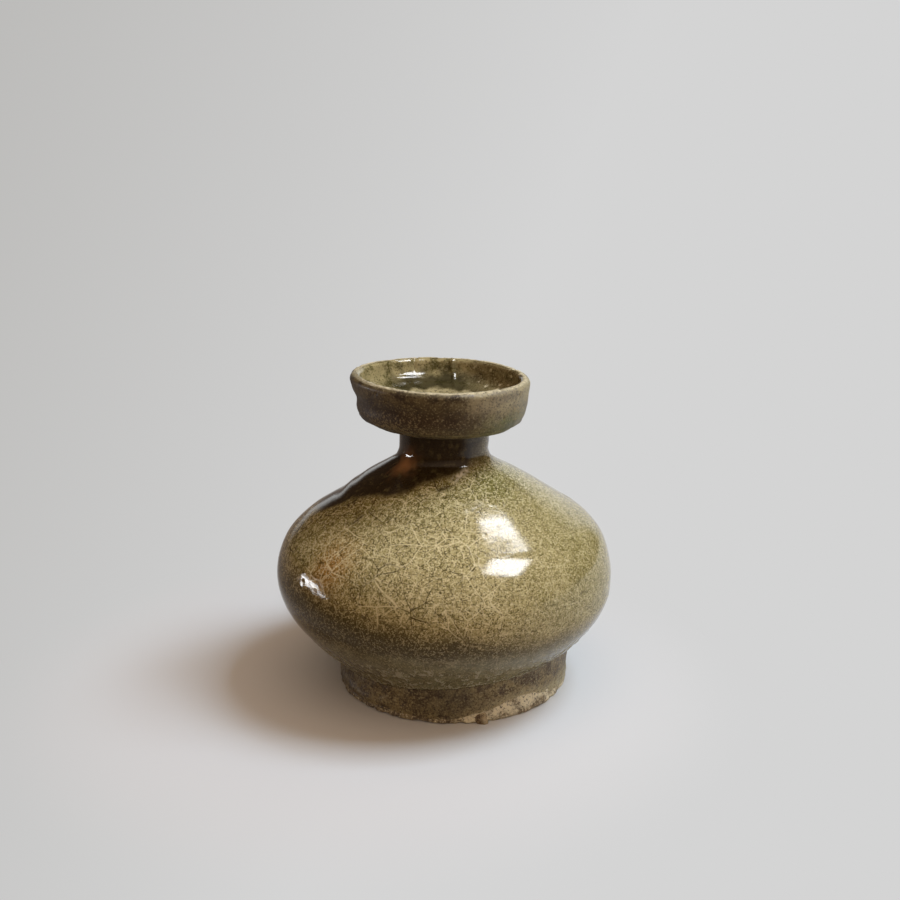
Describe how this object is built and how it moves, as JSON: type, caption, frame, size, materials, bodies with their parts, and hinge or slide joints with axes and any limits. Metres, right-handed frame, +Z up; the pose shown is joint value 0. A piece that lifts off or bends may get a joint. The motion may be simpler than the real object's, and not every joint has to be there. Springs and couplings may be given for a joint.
{
  "type": "celadon oil bottle",
  "caption": "Squat round-bellied stoneware oil bottle with a narrow neck, a shallow dished mouth and a foot ring, under crackled olive celadon glaze.",
  "frame": {"origin": "on the table, under the axis of the belly", "axes": "+Z up along the neck bore; -Y towards the side that the picture shows"},
  "size_m": [0.0854, 0.0854, 0.081],
  "materials": {
    "stoneware": "matt fired clay",
    "slip": "matt fired slip",
    "glaze": "glossy crackled glaze",
    "grit": "rough"
  },
  "bodies": {
    "root": {"foot_ring": "stoneware", "foot_slip": "slip", "lower_bowl": "stoneware", "belly_slip": "slip", "shoulder": "stoneware", "neck_slip": "slip", "neck": "stoneware", "mouth_slip": "slip", "mouth_dish": "stoneware", "body_glaze": "glaze", "mouth_glaze": "glaze", "foot_glaze": "glaze", "kiln_grit": "grit"}
  },
  "joints": []
}
